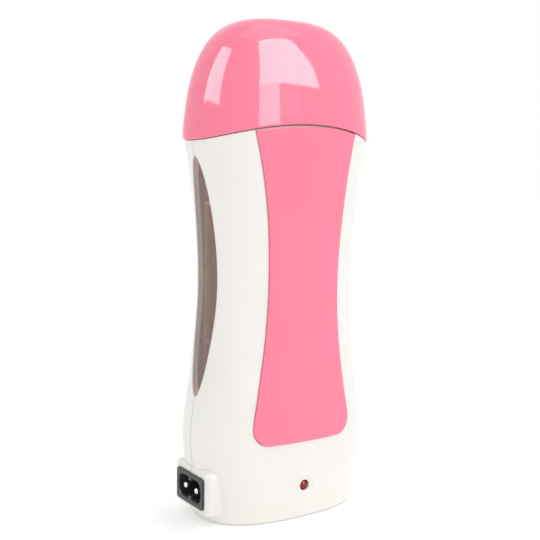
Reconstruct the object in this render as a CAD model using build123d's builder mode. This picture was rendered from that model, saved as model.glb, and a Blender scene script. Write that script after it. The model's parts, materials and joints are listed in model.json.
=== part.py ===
from build123d import *
import math
import os

# Hand-held roll-on wax heater: an upright waisted housing that takes a wax cartridge from
# the top, under a domed lift-off cap. All lengths are in millimetres.
# Frame: +Z up, origin at the centre of the base, indicator panel towards -Y, inlet towards -X.

os.makedirs("parts", exist_ok=True)

# ---------------------------------------------------------------- driving dimensions
# Housing outline: height, half width and half depth of each oval section.
HOUSING = [
    (0, 35.0, 22.2),
    (10, 36.1, 22.8),
    (32, 38.9, 23.3),
    (58, 35.9, 21.9),
    (92, 32.6, 21.6),
    (126, 34.9, 23.1),
    (160, 41.2, 23.9),
]
SQUARE_LOW = 2.55        # superellipse exponent of the housing from the base to the waist
SQUARE_TOP = 2.3         # the same at the top section
WAIST_Z = 92.0
HOUSING_STEPS = 16       # sections that the outline is lofted through
WALL = 2.0               # moulded wall of both shells
FLOOR = 2.2
BASE_ROUND = 1.2
SEAM = 0.16              # gap left between the two shells' edges

# Arched joint between housing and cap, seen from the front.
JOINT_MID_Z = 154.8      # height at the middle
JOINT_SIDE_Z = 148.3     # lowest height of the cap, at its two sides
JOINT_RADIUS = 124.5
CAP_GAP = 0.35           # shadow gap left under the cap's edge

# Cap
CAP_HALF_WIDTH = 39.8
CAP_HALF_DEPTH = 24.5
CAP_HEIGHT = 48.0
CAP_SQUARE = 2.33
CAP_WALL = 2.0
CAP_EDGE_ROUND = 0.5
CAP_RISE = 1.97          # the two exponents that shape the dome's profile
CAP_SHOULDER = 3.7

# Neck that the cap slips over, part of the shells
NECK_HALF_WIDTH = 36.9
NECK_HALF_DEPTH = 21.6
NECK_TOP = 158.0
NECK_BOTTOM = 140.0
NECK_BORE = (34.6, 20.3)

# Front panel inlay
PANEL_EDGE = [(24.0, 155.0), (18.1, 125.0), (16.3, 100.0), (16.75, 80.0), (19.1, 60.0), (22.4, 41.0)]
PANEL_BOTTOM = 31.6
PANEL_CORNER = 6.5
PANEL_FLARE = 0.9        # widening from the last edge point down to the bottom corner
PANEL_PROUD = 0.55
PANEL_SEAT = 0.8         # depth of the seat in the shell
PANEL_PEG_R = 1.5
PANEL_PEGS = [(-13, 44), (13, 44), (-11, 134), (11, 134)]

# Side windows
WINDOW_Z = 95.9
WINDOW_HALF_HEIGHT = 46.6
WINDOW_HALF_WIDTH = 7.4
WINDOW_THICK = 1.35
WINDOW_SUNK = 0.15
WINDOW_LEDGE = 0.8

# Inlet: appliance inlet of the two-pin figure-of-eight kind
INLET_Z = 12.2
INLET_FACE_X = -39.3
BLOCK_FACE_X = -38.5
BLOCK_HALF_WIDTH = 13.2
BLOCK_LOW = 3.5
BLOCK_HIGH = 21.4
BEZEL = (20.7, 12.4)
BEZEL_THICK = 2.2
BEZEL_CORNER = 1.2
INLET_BODY = (19.0, 10.4)
INLET_BACK_X = -22.0
PIN_PITCH = 8.6
PIN_R = 1.2
PIN_NECK_R = 1.0         # the pins are slimmer where they pass through the back wall
SOCKET = (17.4, 8.7)
SOCKET_CORNER = 3.3
SOCKET_NOTCH = (2.2, 2.6)
SOCKET_DEPTH = 13.0
PIN_TIP_X = INLET_FACE_X + 0.3
BLADE_END_X = -15.8

# Indicator
LAMP_Z = 12.9
LAMP_X = 0.9
LAMP_R = 1.9
LAMP_HOLE_R = 2.15
LAMP_DIMPLE_R = 3.9
LAMP_TIP_Y = -22.3
LAMP_LEG = 4.0
BOARD_Y = -13.0          # rear face of the lamp board

# Cartridge well
WELL_SQUARE = 2.5
WELL_FLOOR_Z = 36.0
WELL_FLOOR = 2.0
RING_Z = 155.5           # underside of the ring round the well's mouth
RING_THICK = 2.0
FRAME_OUT = (30.2, 19.2)
FRAME_IN = (29.1, 18.1)
PLATE_OUT = (29.0, 18.0)
PLATE_IN = (28.0, 17.0)
SLOT_HALF_WIDTH = 10.6
TAB_X = 26.5
RIB_Z = 124.5
SLOT_LOW = 50.0
SLOT_HIGH = 142.0
FRAME_GAP_X = 21.0       # half width of the openings that the heater plates show through
FRAME_GAP_LOW = 38.8
PLATE_LOW = 49.0
PLATE_HIGH = 144.0
PLATE_HALF_WIDTH = 25.5
ELEMENT_OUT = (29.65, 18.65)
ELEMENT_IN = (29.05, 18.05)
ELEMENT_LOW = 46.0
ELEMENT_HIGH = 132.0
ELEMENT_HALF_WIDTH = 18.0
SHEET_OUT = (30.0, 19.05)
SHEET_IN = (29.7, 18.7)
SHEET_LOW = 53.0
TAIL_X = 5.0

# Case screws, driven from the back into bosses of the front shell
SCREW_X = 23.0
SCREW_Z = 27.0
SCREW_SEAT_Y = 6.0       # where the heads bear inside the rear bosses

# Electrical pieces in the base
LEAD_R = 0.85
BOARD_THICK = 1.2
THERMOSTAT = ((-10.0, 2.2, 31.8), (10.0, 9.9, 36.0))
CLIP_X = 2.0
FUSE = (3.0, -4.0, 19.0)
FUSE_LENGTH = 11.0
FUSE_R = 2.0
SLEEVE_LENGTH = 17.0


# ---------------------------------------------------------------- shared forms
def oval(half_width, half_depth, square, count=32):
    """Points of a closed superellipse."""
    points = []
    for step in range(count):
        angle = 2 * math.pi * step / count
        across, along = math.cos(angle), math.sin(angle)
        x = math.copysign(half_width * abs(across) ** (2 / square), across)
        y = math.copysign(half_depth * abs(along) ** (2 / square), along)
        points.append((x, y))
    return points


def housing_size(height):
    """Half width and half depth of the housing at a height: a smooth curve through HOUSING."""
    size = []
    heights = [row[0] for row in HOUSING]
    for column in (1, 2):
        values = [row[column] for row in HOUSING]
        runs = [top - low for low, top in zip(heights, heights[1:])]
        rates = [(top - low) / run for low, top, run in zip(values, values[1:], runs)]
        slopes = [rates[0]]
        for run, next_run, rate, next_rate in zip(runs, runs[1:], rates, rates[1:]):
            slopes.append((rate * next_run + next_rate * run) / (run + next_run))
        slopes.append(rates[-1])
        part = max(k for k in range(len(runs)) if heights[k] <= height or k == 0)
        run = runs[part]
        t = (height - heights[part]) / run
        size.append(
            values[part] * (2 * t**3 - 3 * t**2 + 1)
            + values[part + 1] * (3 * t**2 - 2 * t**3)
            + slopes[part] * run * (t**3 - 2 * t**2 + t)
            + slopes[part + 1] * run * (t**3 - t**2)
        )
    return size


def housing_form(inset, bottom=0.0):
    """The housing's outer form moved in by inset, as a solid that starts at height bottom."""
    with BuildPart() as form:
        for step in range(HOUSING_STEPS + 1):
            height = HOUSING[-1][0] * step / HOUSING_STEPS
            half_width, half_depth = housing_size(height)
            square = SQUARE_LOW
            if height > WAIST_Z:
                share = (height - WAIST_Z) / (HOUSING[-1][0] - WAIST_Z)
                square = SQUARE_LOW + (SQUARE_TOP - SQUARE_LOW) * share
            with BuildSketch(Plane.XY.offset(height)):
                with BuildLine():
                    Spline(*oval(half_width - inset, half_depth - inset, square), periodic=True)
                make_face()
        loft()
        if bottom > 0:
            split(bisect_by=Plane.XY.offset(bottom), keep=Keep.TOP)
    return form.part


def oval_prism(size, bottom, top, square=WELL_SQUARE):
    """Straight oval prism; size is its half width and half depth."""
    with BuildPart() as prism:
        with BuildSketch(Plane.XY.offset(bottom)):
            with BuildLine():
                Spline(*oval(size[0], size[1], square), periodic=True)
            make_face()
        extrude(amount=top - bottom)
    return prism.part


def dome_form(inset):
    """The cap's dome moved in by inset."""
    with BuildPart() as dome:
        for share in (0, 0.2, 0.4, 0.6, 0.75, 0.86, 0.94, 0.98, 0.996):
            scale = (1 - share**CAP_RISE) ** (1 / CAP_SHOULDER)
            with BuildSketch(Plane.XY.offset(JOINT_SIDE_Z + share * (CAP_HEIGHT - inset))):
                with BuildLine():
                    half_width = (CAP_HALF_WIDTH - inset) * scale
                    half_depth = (CAP_HALF_DEPTH - inset) * scale
                    Spline(*oval(half_width, half_depth, CAP_SQUARE), periodic=True)
                make_face()
        loft(sections=[*dome.pending_faces, Vertex(0, 0, JOINT_SIDE_Z + CAP_HEIGHT - inset)])
    return dome.part


def above_joint(lift):
    """Everything above the arched joint, with the arch raised by lift."""
    edge = 60
    middle = JOINT_MID_Z + lift
    end = middle - JOINT_RADIUS + math.sqrt(JOINT_RADIUS**2 - edge**2)
    with BuildPart() as space:
        with BuildSketch(Plane.XZ):
            with BuildLine():
                arch = ThreePointArc((-edge, end), (0, middle), (edge, end))
                Polyline(arch @ 1, (edge, 230), (-edge, 230), arch @ 0)
            make_face()
        extrude(amount=60, both=True)
    return space.part


def panel_prism(grow):
    """Prism through the front of the housing with the inlay's outline, grown by grow."""
    with BuildPart() as prism:
        with BuildSketch(Plane.XZ.offset(10)) as outline:
            with BuildLine():
                left = Spline(*[(-x - grow, z) for x, z in PANEL_EDGE])
                right = Spline(*[(x + grow, z) for x, z in PANEL_EDGE])
                foot = PANEL_EDGE[-1][0] + grow + PANEL_FLARE
                low = PANEL_BOTTOM - grow
                Polyline(left @ 1, (-foot, low), (foot, low), right @ 1)
                Line(left @ 0, right @ 0)
            make_face()
            corners = outline.vertices().group_by(Axis.Y)[0]
            fillet(corners, PANEL_CORNER)
        extrude(amount=20)
    return prism.part


def window_prism(shrink):
    """Prism along X with the pointed-oval outline of the side windows."""
    with BuildPart() as prism:
        with BuildSketch(Plane.YZ):
            with Locations((0, WINDOW_Z)):
                Ellipse(WINDOW_HALF_WIDTH - shrink, WINDOW_HALF_HEIGHT - shrink * 3)
        extrude(amount=60, both=True)
    return prism.part


def inlet_block_form():
    """Raised block around the inlet, rounded towards its face."""
    with BuildPart() as block:
        with BuildSketch(Plane.YZ.offset(BLOCK_FACE_X)):
            with Locations((0, (BLOCK_LOW + BLOCK_HIGH) / 2)):
                RectangleRounded(2 * BLOCK_HALF_WIDTH, BLOCK_HIGH - BLOCK_LOW, 2.6)
        extrude(amount=12)
        fillet(block.faces().sort_by(Axis.X)[0].edges(), 2.0)
    return block.part


def bar(low, high):
    """Box between two opposite corners."""
    size = [top - bottom for bottom, top in zip(low, high)]
    middle = [(top + bottom) / 2 for bottom, top in zip(low, high)]
    with BuildPart() as solid:
        with Locations(tuple(middle)):
            Box(*size)
    return solid.part


outer_form = housing_form(0)
inner_form = housing_form(WALL, FLOOR)
cap_space = above_joint(0)
block_form = inlet_block_form()

# ---------------------------------------------------------------- shells
window_hole = window_prism(WINDOW_LEDGE)
window_seat = window_prism(-0.1) - housing_form(WINDOW_SUNK + WINDOW_THICK)
panel_seat = panel_prism(0.12) - housing_form(PANEL_SEAT)

with BuildPart() as shell_blank:
    add(outer_form)
    fillet(shell_blank.edges().sort_by(Axis.Z)[0], BASE_ROUND)
    add(block_form)
    add(cap_space, mode=Mode.SUBTRACT)
    add(oval_prism((NECK_HALF_WIDTH, NECK_HALF_DEPTH), NECK_BOTTOM, NECK_TOP, 2.4))
    add(inner_form & bar((-50, -30, 0), (50, 30, NECK_BOTTOM)), mode=Mode.SUBTRACT)
    add(oval_prism(NECK_BORE, NECK_BOTTOM - 1, NECK_TOP + 1, 2.4), mode=Mode.SUBTRACT)
    add(window_hole, mode=Mode.SUBTRACT)
    add(window_seat, mode=Mode.SUBTRACT)
    # Recess of the inlet's bezel, then the narrower opening for its body
    with BuildSketch(Plane.YZ.offset(INLET_FACE_X + BEZEL_THICK)):
        with Locations((0, INLET_Z)):
            RectangleRounded(BEZEL[0] + 0.1, BEZEL[1] + 0.1, BEZEL_CORNER)
    extrude(amount=-10, mode=Mode.SUBTRACT)
    with BuildSketch(Plane.YZ.offset(-50)):
        with Locations((0, INLET_Z)):
            RectangleRounded(INLET_BODY[0] + 0.1, INLET_BODY[1] + 0.1, BEZEL_CORNER)
    extrude(amount=22, mode=Mode.SUBTRACT)


def screw_points():
    """Places of the case screws on the XZ plane."""
    return Locations((-SCREW_X, SCREW_Z), (SCREW_X, SCREW_Z))


with BuildPart() as boss_space:
    add(inner_form)
    split(bisect_by=Plane.XY.offset(60), keep=Keep.BOTTOM)

with BuildPart() as front_boss_blank:
    with BuildSketch(Plane.XZ):
        with screw_points():
            Circle(3.3)
    extrude(amount=30)
    add(boss_space.part, mode=Mode.INTERSECT)

with BuildPart() as rear_boss_blank:
    with BuildSketch(Plane.XZ):
        with screw_points():
            Circle(4.0)
    extrude(amount=-30)
    add(boss_space.part, mode=Mode.INTERSECT)

with BuildPart() as lamp_posts:
    with BuildSketch(Plane.XZ.offset(14.35)):
        with Locations((-6.5, LAMP_Z - 4.5), (6.5, LAMP_Z - 4.5), (-6.5, LAMP_Z + 4.5), (6.5, LAMP_Z + 4.5)):
            Circle(1.4)
    extrude(amount=10)
    add(boss_space.part, mode=Mode.INTERSECT)

with BuildPart() as front_shell:
    add(shell_blank.part)
    split(bisect_by=Plane.XZ.offset(SEAM / 2), keep=Keep.TOP)
    add(front_boss_blank.part)
    add(lamp_posts.part)
    add(panel_seat, mode=Mode.SUBTRACT)
    # Pilot holes for the case screws
    with BuildSketch(Plane.XZ):
        with screw_points():
            Circle(1.25)
    extrude(amount=13, mode=Mode.SUBTRACT)
    # Peg holes of the inlay
    with BuildSketch(Plane.XZ):
        with Locations(*PANEL_PEGS):
            Circle(PANEL_PEG_R + 0.1)
    extrude(amount=30, mode=Mode.SUBTRACT)
    # Lamp opening at the bottom of a shallow cone
    with Locations(Plane((LAMP_X, -22.95, LAMP_Z), x_dir=(1, 0, 0), z_dir=(0, -1, 0))):
        CounterSinkHole(LAMP_HOLE_R, LAMP_DIMPLE_R, depth=6, counter_sink_angle=124)
front_shell.part.label = "front_shell"

with BuildPart() as rear_shell:
    add(shell_blank.part)
    split(bisect_by=Plane.XZ.offset(-SEAM / 2), keep=Keep.BOTTOM)
    add(rear_boss_blank.part)
    # Deep counterbores for the screw heads, then clearance for the shanks
    with BuildSketch(Plane.XZ.offset(-30)):
        with screw_points():
            Circle(2.9)
    extrude(amount=24, mode=Mode.SUBTRACT)
    with BuildSketch(Plane.XZ):
        with screw_points():
            Circle(1.65)
    extrude(amount=-30, mode=Mode.SUBTRACT)
rear_shell.part.label = "rear_shell"

# ---------------------------------------------------------------- front panel and windows
with BuildPart() as front_panel:
    add(panel_prism(0) & housing_form(-PANEL_PROUD))
    add(housing_form(PANEL_SEAT - 0.02), mode=Mode.SUBTRACT)
    add(above_joint(-0.45), mode=Mode.SUBTRACT)
    # Heat-staked pegs on the back
    for peg_x, peg_z in PANEL_PEGS:
        with BuildSketch(Plane.XZ.offset(18.4)):
            with Locations((peg_x, peg_z)):
                Circle(PANEL_PEG_R)
        extrude(until=Until.NEXT)
front_panel.part.label = "front_panel"

lens_pair = (window_prism(0) & housing_form(WINDOW_SUNK)) - housing_form(WINDOW_SUNK + WINDOW_THICK - 0.02)
with BuildPart() as left_window:
    add(lens_pair & bar((-50, -20, 30), (-20, 20, 160)))
left_window.part.label = "left_window"
with BuildPart() as right_window:
    add(lens_pair & bar((20, -20, 30), (50, 20, 160)))
right_window.part.label = "right_window"

# ---------------------------------------------------------------- cap
with BuildPart() as cap:
    add(dome_form(0))
    add(dome_form(CAP_WALL), mode=Mode.SUBTRACT)
    add(above_joint(CAP_GAP), mode=Mode.INTERSECT)
    dome_face = cap.faces().sort_by(SortBy.AREA)[-1]
    fillet(dome_face.edges().sort_by(Axis.Z)[0], CAP_EDGE_ROUND)
cap.part.label = "cap"

# ---------------------------------------------------------------- cartridge well
with BuildPart() as well_base:
    add(oval_prism(FRAME_OUT, WELL_FLOOR_Z, WELL_FLOOR_Z + WELL_FLOOR))
well_base.part.label = "well_base"

with BuildPart() as mouth_ring:
    add(oval_prism((NECK_BORE[0] - 0.2, NECK_BORE[1] - 0.2), RING_Z, RING_Z + RING_THICK, 2.4))
    add(oval_prism(FRAME_IN, RING_Z - 1, RING_Z + RING_THICK + 1), mode=Mode.SUBTRACT)
mouth_ring.part.label = "mouth_ring"

with BuildPart() as well_frame:
    add(oval_prism(FRAME_OUT, WELL_FLOOR_Z + WELL_FLOOR, RING_Z))
    add(oval_prism(FRAME_IN, WELL_FLOOR_Z, RING_Z + 1), mode=Mode.SUBTRACT)
    # Openings for the heater plates at the front and the back
    add(bar((-FRAME_GAP_X, -30, FRAME_GAP_LOW), (FRAME_GAP_X, 30, PLATE_HIGH - 2)), mode=Mode.SUBTRACT)
    # Side slots behind the windows, crossed by one rib
    for low, high in ((SLOT_LOW, RIB_Z - 0.6), (RIB_Z + 0.6, SLOT_HIGH)):
        with Locations((0, 0, (low + high) / 2)):
            Box(80, 2 * SLOT_HALF_WIDTH, high - low, mode=Mode.SUBTRACT)
    # Stub tabs on the slots' edges
    tabs = [(96.5, 3.8, 1.3), (69.0, 2.2, 3.2)]
    for height, tall, reach in tabs:
        for side_x in (-TAB_X, TAB_X):
            for side_y in (-1, 1):
                with Locations((side_x, side_y * (SLOT_HALF_WIDTH + 0.5 - reach / 2), height)):
                    Box(1.0, reach + 1, tall)
well_frame.part.label = "well_frame"

plate_ring = oval_prism(PLATE_OUT, PLATE_LOW, PLATE_HIGH) - oval_prism(PLATE_IN, PLATE_LOW, PLATE_HIGH)
element_ring = (
    oval_prism(ELEMENT_OUT, ELEMENT_LOW, ELEMENT_HIGH) - oval_prism(ELEMENT_IN, ELEMENT_LOW, ELEMENT_HIGH)
)
sheet_ring = oval_prism(SHEET_OUT, SHEET_LOW, ELEMENT_HIGH) - oval_prism(SHEET_IN, SHEET_LOW, ELEMENT_HIGH)


def well_pieces(side):
    """Heater plate, heating element and insulation on one side: -1 front, 1 rear."""
    name = "front" if side < 0 else "rear"
    near, far = (8.4, 30) if side > 0 else (-30, -8.4)
    with BuildPart() as plate:
        add(plate_ring & bar((-PLATE_HALF_WIDTH, near, PLATE_LOW), (PLATE_HALF_WIDTH, far, PLATE_HIGH)))
    plate.part.label = f"{name}_heater_plate"
    with BuildPart() as element:
        band = bar((-ELEMENT_HALF_WIDTH, near, SHEET_LOW), (ELEMENT_HALF_WIDTH, far, ELEMENT_HIGH))
        add(element_ring & band)
        for tail_x in (-TAIL_X, TAIL_X):
            tail = bar((tail_x - 2, near, ELEMENT_LOW), (tail_x + 2, far, SHEET_LOW + 0.5))
            add(element_ring & tail)
    element.part.label = f"{name}_heating_element"
    with BuildPart() as sheet:
        add(sheet_ring & bar((-FRAME_GAP_X + 0.6, near, SHEET_LOW), (FRAME_GAP_X - 0.6, far, ELEMENT_HIGH)))
    sheet.part.label = f"{name}_insulation_sheet"
    return [plate.part, element.part, sheet.part]


front_pieces = well_pieces(-1)
rear_pieces = well_pieces(1)

# ---------------------------------------------------------------- mains inlet
with BuildPart() as inlet_body:
    with BuildSketch(Plane.YZ.offset(INLET_FACE_X)):
        with Locations((0, INLET_Z)):
            RectangleRounded(*BEZEL, BEZEL_CORNER)
    extrude(amount=BEZEL_THICK)
    with BuildSketch(Plane.YZ.offset(INLET_FACE_X + BEZEL_THICK)):
        with Locations((0, INLET_Z)):
            RectangleRounded(*INLET_BODY, BEZEL_CORNER)
    extrude(amount=INLET_BACK_X - INLET_FACE_X - BEZEL_THICK)
    # Two-lobed socket: a rounded opening with a notch in the middle of each long side
    with BuildSketch(Plane.YZ.offset(INLET_FACE_X)):
        with Locations((0, INLET_Z)):
            RectangleRounded(*SOCKET, SOCKET_CORNER)
        with Locations((0, INLET_Z - SOCKET[1] / 2), (0, INLET_Z + SOCKET[1] / 2)):
            RectangleRounded(*SOCKET_NOTCH, 0.6, mode=Mode.SUBTRACT)
    extrude(amount=SOCKET_DEPTH, mode=Mode.SUBTRACT)
    # Bores that hold the pins in the back wall
    with BuildSketch(Plane.YZ.offset(INLET_FACE_X)):
        with Locations((-PIN_PITCH / 2, INLET_Z), (PIN_PITCH / 2, INLET_Z)):
            Circle(PIN_NECK_R)
    extrude(amount=40, mode=Mode.SUBTRACT)
    face = inlet_body.faces().sort_by(Axis.X)[0]
    chamfer(face.inner_wires()[0].edges(), 0.35)
inlet_body.part.label = "inlet_body"

with BuildPart() as inlet_pins:
    for pin_y in (-PIN_PITCH / 2, PIN_PITCH / 2):
        with BuildSketch(Plane.YZ.offset(PIN_TIP_X)):
            with Locations((pin_y, INLET_Z)):
                Circle(PIN_R)
        extrude(amount=INLET_FACE_X + SOCKET_DEPTH - PIN_TIP_X)
        with BuildSketch(Plane.YZ.offset(INLET_BACK_X)):
            with Locations((pin_y, INLET_Z)):
                Circle(PIN_NECK_R)
        extrude(amount=INLET_FACE_X + SOCKET_DEPTH - INLET_BACK_X)
        add(bar((INLET_BACK_X, pin_y - 1.3, INLET_Z - 0.4), (BLADE_END_X, pin_y + 1.3, INLET_Z + 0.4)))
    tips = inlet_pins.faces().group_by(Axis.X)[0]
    fillet(tips.edges(), 0.8)
inlet_pins.part.label = "inlet_pins"

# ---------------------------------------------------------------- indicator
with BuildPart() as indicator_lamp:
    with BuildSketch(Plane.XY):
        with BuildLine():
            lens = CenterArc((0, LAMP_R), LAMP_R, -90, 90)
            Polyline(lens @ 1, (LAMP_R, 4.3), (LAMP_R + 0.4, 4.3), (LAMP_R + 0.4, 5.3), (0, 5.3), lens @ 0)
        make_face()
    revolve(axis=Axis.Y)
    for leg_x in (-1.27, 1.27):
        add(bar((leg_x - 0.25, 5.3, -0.25), (leg_x + 0.25, 5.3 + LAMP_LEG, 0.25)))
indicator_lamp.part.position = (LAMP_X, LAMP_TIP_Y, LAMP_Z)
indicator_lamp.part.label = "indicator_lamp"

with BuildPart() as lamp_board:
    with BuildSketch(Plane.XZ.offset(-BOARD_Y)):
        with Locations((0, LAMP_Z)):
            RectangleRounded(17, 13, 1)
        with Locations((LAMP_X - 1.27, LAMP_Z), (LAMP_X + 1.27, LAMP_Z)):
            Rectangle(0.52, 0.52, mode=Mode.SUBTRACT)
    extrude(amount=BOARD_THICK)
lamp_board.part.label = "lamp_board"


def axial_component(name, height, body_r, body_length, reach):
    """Axial part on the back of the lamp board, with both legs bent down to the board."""
    centre_y = BOARD_Y + body_r + 0.3
    with BuildPart() as component:
        with BuildSketch(Plane.YZ.offset(-body_length / 2)):
            with Locations((centre_y, height)):
                Circle(body_r)
        extrude(amount=body_length)
        for side in (-1, 1):
            start = (side * body_length / 2, centre_y, height)
            with BuildLine() as route:
                FilletPolyline(start, (side * reach, centre_y, height), (side * reach, BOARD_Y, height),
                               radius=0.6)
            with BuildSketch(Plane(start, z_dir=(side, 0, 0))):
                Circle(0.3)
            sweep(path=route.line)
    component.part.label = name
    return component.part


dropper_resistor = axial_component("dropper_resistor", LAMP_Z + 3.6, 1.2, 6.4, 5.4)
rectifier_diode = axial_component("rectifier_diode", LAMP_Z - 3.6, 1.0, 4.2, 4.2)

# ---------------------------------------------------------------- thermostat and fuse
with BuildPart() as thermostat:
    add(bar(THERMOSTAT[0], THERMOSTAT[1]))
    fillet(thermostat.edges().filter_by(Axis.X), 0.8)
thermostat.part.label = "thermostat"

with BuildPart() as thermostat_clip:
    low, high = THERMOSTAT
    with BuildSketch(Plane.YZ.offset(CLIP_X - 2.5)):
        with BuildLine():
            Polyline((low[1] - 3.6, high[2] - 0.6), (low[1] - 0.6, high[2] - 0.6),
                     (low[1] - 0.6, low[2] - 0.6), (high[1] + 0.6, low[2] - 0.6),
                     (high[1] + 0.6, high[2]), (high[1], high[2]),
                     (high[1], low[2]), (low[1], low[2]), (low[1], high[2]), (low[1] - 3.6, high[2]),
                     close=True)
        make_face()
    extrude(amount=5)
thermostat_clip.part.label = "thermostat_clip"

with BuildPart() as thermal_fuse:
    with BuildSketch(Plane.YZ.offset(FUSE[0] - FUSE_LENGTH / 2)):
        with Locations((FUSE[1], FUSE[2])):
            Circle(FUSE_R)
    extrude(amount=FUSE_LENGTH)
    fillet(thermal_fuse.edges().filter_by(GeomType.CIRCLE), 0.5)
thermal_fuse.part.label = "thermal_fuse"

with BuildPart() as fuse_sleeve:
    with BuildSketch(Plane.YZ.offset(FUSE[0] - SLEEVE_LENGTH / 2)):
        with Locations((FUSE[1], FUSE[2])):
            Circle(FUSE_R + 0.7)
            Circle(FUSE_R + 0.1, mode=Mode.SUBTRACT)
    extrude(amount=SLEEVE_LENGTH)
fuse_sleeve.part.label = "fuse_sleeve"


# ---------------------------------------------------------------- internal leads
def lead(name, points, radius=LEAD_R):
    """Insulated wire: straight runs joined by tangent arcs."""
    vectors = [Vector(*point) for point in points]
    runs = [end - start for start, end in zip(vectors, vectors[1:])]
    bends = []
    for before, after in zip(runs, runs[1:]):
        half_turn = math.radians(before.get_angle(after)) / 2
        bends.append(0.45 * min(before.length, after.length) / math.tan(half_turn))
    with BuildPart() as wire:
        with BuildLine() as route:
            FilletPolyline(*vectors, radius=bends)
        with BuildSketch(Plane(vectors[0], z_dir=runs[0])):
            Circle(radius)
        sweep(path=route.line)
    wire.part.label = name
    return wire.part


pin_y = PIN_PITCH / 2
fuse_start = FUSE[0] - FUSE_LENGTH / 2
fuse_end = FUSE[0] + FUSE_LENGTH / 2


def riser(x, side):
    """Last stretch of a heater lead, up beside the well to an element's tail."""
    return [
        (x, side * 20.2, 33.5), (x, side * 20.2, 39.5), (x, side * 18.5, 43.2), (x, side * 18.4, ELEMENT_LOW),
    ]


live_lead = lead("live_lead", [
    (BLADE_END_X, pin_y, INLET_Z), (-12.5, pin_y, INLET_Z), (-11.5, 5.0, 20.0), (-16.0, 5.5, 27.0),
    (-15.0, 4.6, 33.8), (THERMOSTAT[0][0], 4.6, 33.8),
])
neutral_lead = lead("neutral_lead", [
    (BLADE_END_X, -pin_y, INLET_Z), (-12.0, -pin_y, INLET_Z), (-9.5, -4.0, FUSE[2]),
    (fuse_start, -4.0, FUSE[2]),
])
rear_heater_lead = lead("rear_heater_lead", [
    (THERMOSTAT[0][0], 7.6, 33.8), (-14.0, 7.6, 33.8), (-15.0, 12.5, 32.0), (-10.5, 17.5, 31.0),
    (-6.0, 20.0, 31.0), *riser(-TAIL_X, 1),
])
link_lead = lead("link_lead", [
    *reversed(riser(TAIL_X, 1)), (7.5, 18.5, 30.5), (12.5, 13.0, 30.0), (15.0, 5.0, 30.4),
    (15.2, -4.5, 30.2), (12.6, -13.0, 30.0), (7.5, -18.5, 30.5), *riser(TAIL_X, -1),
])
front_heater_lead = lead("front_heater_lead", [
    (fuse_end, -4.0, FUSE[2]), (13.6, -4.0, FUSE[2]), (15.0, -9.5, 20.5), (9.5, -15.5, 23.0),
    (2.0, -17.5, 25.5), (-3.5, -19.4, 28.5), *riser(-TAIL_X, -1),
])

with BuildPart() as indicator_leads:
    add(lead("first", [
        (-6.5, BOARD_Y, LAMP_Z - 1), (-6.5, -9.0, LAMP_Z - 1), (-11.0, -5.5, 8.5), (-18.0, -pin_y, 7.2),
        (-18.0, -pin_y, INLET_Z - 0.4),
    ], 0.6))
    add(lead("second", [
        (6.5, BOARD_Y, LAMP_Z - 1), (6.5, -8.5, LAMP_Z - 1), (2.0, -1.5, 8.5), (-9.0, 3.6, 7.4),
        (-18.0, pin_y, 7.2), (-18.0, pin_y, INLET_Z - 0.4),
    ], 0.6))
indicator_leads.part.label = "indicator_leads"

# ---------------------------------------------------------------- case screws
with BuildPart() as case_screws:
    with BuildSketch(Plane.XZ.offset(-SCREW_SEAT_Y)):
        with screw_points():
            Circle(2.7)
    extrude(amount=-2.0)
    fillet(case_screws.edges().group_by(Axis.Y)[-1], 0.7)
    with BuildSketch(Plane.XZ.offset(-SCREW_SEAT_Y)):
        with screw_points():
            Circle(1.24)
    extrude(amount=14.0)
    # Cross recess in each head
    with BuildSketch(Plane.XZ.offset(-SCREW_SEAT_Y - 2.0)):
        with screw_points():
            Rectangle(3.0, 0.7)
            Rectangle(0.7, 3.0)
    extrude(amount=1.1, mode=Mode.SUBTRACT)
case_screws.part.label = "case_screws"

# ---------------------------------------------------------------- output
builders = (
    front_shell, rear_shell, front_panel, left_window, right_window, cap, well_frame, well_base, mouth_ring,
    inlet_body, inlet_pins,
    indicator_lamp, lamp_board, thermostat, thermostat_clip, thermal_fuse, fuse_sleeve, indicator_leads,
    case_screws,
)
pieces = [builder.part for builder in builders]
pieces += front_pieces + rear_pieces
pieces += [dropper_resistor, rectifier_diode, live_lead, neutral_lead, rear_heater_lead, link_lead]
pieces += [front_heater_lead]
for piece in pieces:
    export_step(piece, f"parts/{piece.label}.step")
    print(piece.label, len(piece.solids()), round(piece.volume, 1), piece.is_valid)
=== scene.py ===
import json
import math

import bpy
from mathutils import Matrix, Vector


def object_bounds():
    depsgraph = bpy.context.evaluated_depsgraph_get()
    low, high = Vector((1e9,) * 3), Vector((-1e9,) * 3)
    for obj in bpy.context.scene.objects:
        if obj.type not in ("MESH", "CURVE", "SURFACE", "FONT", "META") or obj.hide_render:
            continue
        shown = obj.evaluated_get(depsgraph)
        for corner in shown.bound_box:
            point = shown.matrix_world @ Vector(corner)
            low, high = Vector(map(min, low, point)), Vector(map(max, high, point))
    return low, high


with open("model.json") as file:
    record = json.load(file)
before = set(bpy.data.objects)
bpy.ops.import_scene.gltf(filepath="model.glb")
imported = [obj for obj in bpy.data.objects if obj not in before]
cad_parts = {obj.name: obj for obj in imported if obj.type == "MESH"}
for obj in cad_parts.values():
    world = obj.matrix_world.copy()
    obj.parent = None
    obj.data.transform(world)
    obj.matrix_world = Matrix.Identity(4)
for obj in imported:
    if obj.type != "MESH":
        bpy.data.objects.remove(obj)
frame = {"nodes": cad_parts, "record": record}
cad_low, cad_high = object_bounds()
nodes = frame["nodes"]

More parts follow.
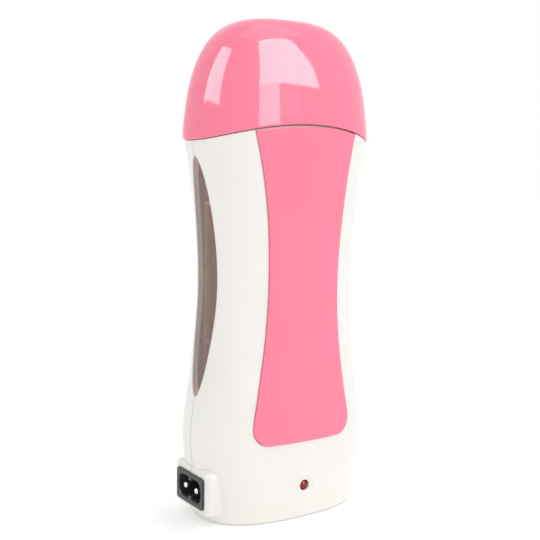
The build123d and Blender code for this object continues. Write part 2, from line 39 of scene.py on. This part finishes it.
# ---------------------------------------------------------------- camera
# The eye stands to the front left of the warmer, a little above its middle.
AZIMUTH = math.radians(-33.92)      # 0 looks along +Y
DISTANCE = 0.3769                   # from the warmer's axis, in metres
EYE_HEIGHT = 0.1388
PITCH = math.radians(6.316)         # looking down
YAW = math.radians(0.316)
ROLL = math.radians(0.849)
FOCAL_SHARE = 928.2 / 540           # focal length over image width
SENSOR = 36.0


def make_camera():
    eye = Vector((DISTANCE * math.sin(AZIMUTH), -DISTANCE * math.cos(AZIMUTH), EYE_HEIGHT))
    heading = Matrix.Rotation(YAW, 3, "Z") @ Vector((-eye.x, -eye.y, 0)).normalized()
    ahead = heading * math.cos(PITCH) - Vector((0, 0, 1)) * math.sin(PITCH)
    right = ahead.cross(Vector((0, 0, 1))).normalized()
    up = right.cross(ahead)
    rolled_right = right * math.cos(ROLL) + up * math.sin(ROLL)
    rolled_up = up * math.cos(ROLL) - right * math.sin(ROLL)
    data = bpy.data.cameras.new("camera")
    data.sensor_width = SENSOR
    data.lens = SENSOR * FOCAL_SHARE
    data.clip_start = 0.01
    camera = bpy.data.objects.new("camera", data)
    turn = Matrix((rolled_right, rolled_up, -ahead)).transposed()
    camera.matrix_world = Matrix.Translation(eye) @ turn.to_4x4()
    bpy.context.scene.collection.objects.link(camera)
    bpy.context.scene.camera = camera


make_camera()


# ---------------------------------------------------------------- materials
HOUSING_HEIGHT = 0.16
BAND_SPAN = 1 / 60                  # length along X that the resistor's rings are laid out on
RING_COLORS = [(0.35, 0.02, 0.01), (0.03, 0.02, 0.02), (0.5, 0.2, 0.02), (0.55, 0.4, 0.05)]


class Shader:
    """A material being built: its Principled shader and short ways to add nodes."""

    def __init__(self, name, color, roughness, **settings):
        self.material = bpy.data.materials.new(name)
        self.material.use_nodes = True
        self.tree = self.material.node_tree
        self.tree.nodes.clear()
        self.principled = self.add("ShaderNodeBsdfPrincipled")
        output = self.add("ShaderNodeOutputMaterial")
        self.link(self.principled.outputs[0], output.inputs["Surface"])
        self.place = self.add("ShaderNodeTexCoord").outputs["Object"]
        self.set("Base Color", (*color, 1))
        self.set("Roughness", roughness)
        for socket, value in settings.items():
            self.set(socket, value)

    def add(self, kind, **values):
        node = self.tree.nodes.new(kind)
        for key, value in values.items():
            setattr(node, key, value)
        return node

    def link(self, source, target):
        self.tree.links.new(source, target)

    def set(self, socket, value):
        self.principled.inputs[socket].default_value = value

    def noise(self, scale, detail=3.0, stretch=(1, 1, 1)):
        """Noise in metres: scale is features per metre."""
        mapping = self.add("ShaderNodeMapping")
        mapping.inputs["Scale"].default_value = stretch
        self.link(self.place, mapping.inputs["Vector"])
        node = self.add("ShaderNodeTexNoise")
        node.inputs["Scale"].default_value = scale
        node.inputs["Detail"].default_value = detail
        self.link(mapping.outputs[0], node.inputs["Vector"])
        return node.outputs["Fac"]

    def ramp(self, factor, stops, interpolation="LINEAR"):
        node = self.add("ShaderNodeValToRGB")
        node.color_ramp.interpolation = interpolation
        elements = node.color_ramp.elements
        while len(elements) < len(stops):
            elements.new(0.5)
        for element, (position, color) in zip(elements, stops):
            element.position = position
            element.color = (*color, 1)
        self.link(factor, node.inputs["Fac"])
        return node.outputs["Color"]

    def range(self, factor, low, high):
        node = self.add("ShaderNodeMapRange")
        node.inputs["To Min"].default_value = low
        node.inputs["To Max"].default_value = high
        self.link(factor, node.inputs["Value"])
        return node.outputs["Result"]

    def tint(self, factor, low, high):
        """Colour that drifts between two close tones."""
        self.link(self.ramp(factor, [(0.3, low), (0.7, high)]), self.principled.inputs["Base Color"])

    def axis(self, letter):
        """One object coordinate, in metres."""
        node = self.add("ShaderNodeSeparateXYZ")
        self.link(self.place, node.inputs[0])
        return node.outputs[letter]

    def math(self, operation, *values):
        node = self.add("ShaderNodeMath", operation=operation)
        for socket, value in zip(node.inputs, values):
            if isinstance(value, (int, float)):
                socket.default_value = value
            else:
                self.link(value, socket)
        return node.outputs[0]

    def mix(self, factor, first, second):
        """Blend of two colours; each is a tuple or a socket."""
        node = self.add("ShaderNodeMix", data_type="RGBA")
        self.link(factor, node.inputs[0])
        for socket, value in zip(node.inputs[6:8], (first, second)):
            if isinstance(value, tuple):
                socket.default_value = (*value, 1)
            else:
                self.link(value, socket)
        return node.outputs[2]

    def paint(self, color):
        self.link(color, self.principled.inputs["Base Color"])

    def bump(self, height, strength, distance, edge=0.0):
        """Surface relief, on top of edges softened over the given radius."""
        node = self.add("ShaderNodeBump")
        node.inputs["Strength"].default_value = strength
        node.inputs["Distance"].default_value = distance
        self.link(height, node.inputs["Height"])
        if edge:
            bevel = self.add("ShaderNodeBevel", samples=6)
            bevel.inputs["Radius"].default_value = edge
            self.link(bevel.outputs[0], node.inputs["Normal"])
        self.link(node.outputs[0], self.principled.inputs["Normal"])


def shade(color, factor):
    return tuple(min(1.0, channel * factor) for channel in color)


def moulded(name, color, roughness, grain=900, ripple=0.00002, edge=0.0, drift=0.02, **settings):
    """Injection-moulded plastic: faint waviness, uneven gloss and a slight drift of tone."""
    shader = Shader(name, color, roughness, **settings)
    shader.tint(shader.noise(35), shade(color, 1 - drift), shade(color, 1 + drift))
    shader.link(shader.range(shader.noise(140), roughness * 0.85, roughness * 1.2),
                shader.principled.inputs["Roughness"])
    shader.bump(shader.noise(grain), 0.2, ripple, edge)
    return shader.material


def metal(name, color, roughness, stretch, grain=4000):
    """Metal with fine drawn lines along the axis that stretch shortens."""
    shader = Shader(name, color, roughness, Metallic=1.0)
    lines = shader.noise(grain, 2.0, stretch)
    shader.tint(lines, shade(color, 0.85), shade(color, 1.08))
    shader.link(shader.range(lines, roughness * 0.7, roughness * 1.4), shader.principled.inputs["Roughness"])
    shader.bump(lines, 0.3, 0.00002, 0.0002)
    return shader.material


def heater_plate(name):
    """Dark plate with upright rolling lines; its lighter, warmer orange brown ends are painted light."""
    shader = Shader(name, (0.3, 0.2, 0.16), 0.5)
    lines = shader.noise(2600, 2.0, (1, 1, 0.01))
    plain = shader.ramp(lines, [(0.35, (0.30, 0.21, 0.17)), (0.65, (0.48, 0.37, 0.31))])
    # Painted light: the plate turns lighter and warmer orange brown towards both ends, standing in for light
    # falling on it near the window's top and bottom.
    painted_light_tone = shader.ramp(lines, [(0.35, (0.75, 0.32, 0.20)), (0.65, (0.9, 0.45, 0.30))])
    # Share of the way up the housing
    height = shader.math("MULTIPLY", shader.axis("Z"), 1 / HOUSING_HEIGHT)
    white, black = (1, 1, 1), (0, 0, 0)
    painted_light_ends = shader.ramp(height, [(0.36, white), (0.44, black), (0.70, black), (0.78, white)])
    shader.paint(shader.mix(painted_light_ends, plain, painted_light_tone))
    shader.bump(lines, 0.4, 0.00003, 0.0002)
    return shader.material


def banded(name, body, bands, pitch):
    """Resistor lacquer with colour rings round the X axis; pitch is a share of BAND_SPAN."""
    shader = Shader(name, body, 0.35)
    along = shader.math("MULTIPLY_ADD", shader.axis("X"), 1 / BAND_SPAN, 0.5)
    stops = [(0.0, body)]
    for k, color in enumerate(bands):
        centre = 0.5 + pitch * (k - (len(bands) - 1) / 2)
        stops += [(centre - pitch / 4, color), (centre + pitch / 4, body)]
    shader.paint(shader.ramp(along, stops, "CONSTANT"))
    shader.bump(shader.noise(1500), 0.2, 0.00002)
    return shader.material


def flaked(name, low, high, size, roughness):
    """Pressed mica or fibre: small flat flakes of two tones."""
    shader = Shader(name, low, roughness)
    cells = shader.add("ShaderNodeTexVoronoi")
    cells.inputs["Scale"].default_value = size
    shader.link(shader.place, cells.inputs["Vector"])
    fleck = shader.add("ShaderNodeSeparateColor")
    shader.link(cells.outputs["Color"], fleck.inputs[0])
    shader.paint(shader.ramp(fleck.outputs[0], [(0.2, low), (0.8, high)]))
    shader.bump(cells.outputs["Distance"], 0.3, 0.00005)
    return shader.material


def board(name):
    """Solder mask with a fine weave and darker tracks."""
    shader = Shader(name, (0.03, 0.16, 0.06), 0.35)
    tracks = shader.add("ShaderNodeTexBrick")
    tracks.inputs["Scale"].default_value = 260
    tracks.inputs["Color1"].default_value = (0.02, 0.13, 0.05, 1)
    tracks.inputs["Color2"].default_value = (0.03, 0.19, 0.07, 1)
    tracks.inputs["Mortar"].default_value = (0.06, 0.26, 0.10, 1)
    turned = shader.add("ShaderNodeMapping")
    turned.inputs["Rotation"].default_value = (math.pi / 2, 0, 0)
    shader.link(shader.place, turned.inputs["Vector"])
    shader.link(turned.outputs[0], tracks.inputs["Vector"])
    shader.paint(tracks.outputs["Color"])
    shader.bump(shader.noise(6000), 0.3, 0.00002)
    return shader.material


materials = {
    "white_abs": moulded("white_abs", (0.875, 0.855, 0.81), 0.34, grain=700, edge=0.0007),
    "pink_gloss": moulded("pink_gloss", (0.98, 0.225, 0.335), 0.06, grain=260, edge=0.0005, drift=0.01),
    "frame_plastic": moulded("frame_plastic", (0.92, 0.78, 0.72), 0.5, grain=1500, edge=0.0003, drift=0.06),
    "heater_aluminium": heater_plate("heater_aluminium"),
    "heating_element": flaked("heating_element", (0.25, 0.10, 0.04), (0.42, 0.19, 0.08), 900, 0.6),
    "mica_sheet": flaked("mica_sheet", (0.40, 0.34, 0.22), (0.58, 0.50, 0.36), 700, 0.5),
    "black_plastic": moulded("black_plastic", (0.035, 0.035, 0.04), 0.38,
                             grain=2500, ripple=0.00003, edge=0.0003),
    "plated_metal": metal("plated_metal", (0.86, 0.85, 0.82), 0.22, (0.05, 1, 1)),
    "lamp_red": moulded("lamp_red", (0.30, 0.006, 0.010), 0.10, grain=900, edge=0.0002, drift=0.2),
    "circuit_board": board("circuit_board"),
    "resistor_body": banded("resistor_body", (0.55, 0.40, 0.20), RING_COLORS, 0.08),
    "thermostat_case": moulded("thermostat_case", (0.03, 0.03, 0.033), 0.45, grain=3000, edge=0.0003),
    "spring_steel": metal("spring_steel", (0.55, 0.55, 0.56), 0.32, (1, 1, 0.05)),
    "glass_sleeve": flaked("glass_sleeve", (0.62, 0.54, 0.34), (0.78, 0.70, 0.48), 1600, 0.8),
    "brown_lead": moulded("brown_lead", (0.10, 0.04, 0.015), 0.4, grain=1800, drift=0.1),
    "blue_lead": moulded("blue_lead", (0.015, 0.04, 0.28), 0.4, grain=1800, drift=0.1),
    "white_lead": moulded("white_lead", (0.72, 0.70, 0.64), 0.4, grain=1800, drift=0.05),
    "red_lead": moulded("red_lead", (0.38, 0.015, 0.012), 0.4, grain=1800, drift=0.1),
    "smoky_window": moulded("smoky_window", (0.46, 0.32, 0.27), 0.07, grain=300, edge=0.0003, Alpha=0.3),
}
for part in frame["record"]["subparts"]:
    node = nodes[part["node"]]
    node.data.materials.clear()
    node.data.materials.append(materials[part["material_slot"]])
    for polygon in node.data.polygons:
        polygon.material_index = 0


# ---------------------------------------------------------------- floor and light
FLOOR_SIZE = 6.0
FLOOR_GAP = 0.0002                  # keeps the floor just under the base
FLOOR_GLOW = 0.14                   # lifts the floor to the white of its surroundings


def make_floor():
    bpy.ops.mesh.primitive_plane_add(size=FLOOR_SIZE, location=(0, 0, cad_low[2] - FLOOR_GAP))
    floor = bpy.context.object
    floor.name = "floor"
    shader = Shader("floor", (0.92, 0.92, 0.92), 0.6)
    shader.set("Specular IOR Level", 0.0)
    shader.set("Emission Color", (1, 1, 1, 1))
    shader.set("Emission Strength", FLOOR_GLOW)
    shader.tint(shader.noise(4), (0.93, 0.93, 0.93), (0.95, 0.95, 0.95))
    floor.data.materials.append(shader.material)


def softbox(name, place, aim, width, height, radiance, glossy_only=False):
    """Rectangular light of an even radiance; some only make reflections."""
    data = bpy.data.lights.new(name, "AREA")
    data.shape = "RECTANGLE"
    data.size = width
    data.size_y = height
    data.energy = radiance * math.pi * width * height
    lamp = bpy.data.objects.new(name, data)
    lamp.location = place
    lamp.rotation_euler = (Vector(aim) - Vector(place)).to_track_quat("-Z", "Y").to_euler()
    lamp.visible_diffuse = not glossy_only
    lamp.visible_camera = False
    bpy.context.scene.collection.objects.link(lamp)


def make_light():
    world = bpy.data.worlds.new("studio")
    world.use_nodes = True
    tree = world.node_tree
    # White surroundings, a little dimmer on the inlet's side
    place = tree.nodes.new("ShaderNodeTexCoord")
    parts = tree.nodes.new("ShaderNodeSeparateXYZ")
    dim = tree.nodes.new("ShaderNodeMapRange")
    for socket, value in (("From Min", -1.0), ("From Max", 0.2), ("To Min", 0.72), ("To Max", 1.0)):
        dim.inputs[socket].default_value = value
    tree.links.new(place.outputs["Generated"], parts.inputs[0])
    tree.links.new(parts.outputs["X"], dim.inputs["Value"])
    tree.links.new(dim.outputs["Result"], tree.nodes["Background"].inputs["Strength"])
    tree.nodes["Background"].inputs["Color"].default_value = (1, 1, 1, 1)
    bpy.context.scene.world = world
    bpy.context.scene.view_settings.view_transform = "Standard"
    # Reflections on the cap: a tall window with a lower strip in front, a narrow one at the side
    softbox("front window", (0.385, -1.02, 1.17), (0.385, 0, 1.17), 1.01, 1.2, 8.0, True)
    softbox("front strip", (0.065, -1.02, 0.43), (0.065, 0, 0.43), 0.37, 0.28, 5.0, True)
    softbox("side window", (-1.034, 0.07, 1.02), (0, 0.07, 1.02), 0.85, 1.1, 7.5, True)
    softbox("overhead", (0.15, -0.25, 1.3), (0, 0, 0.15), 0.9, 0.9, 0.9)
    softbox("key", (0.3, -1.0, 0.6), (0, 0, 0.1), 0.5, 0.5, 0.6)


make_floor()
make_light()
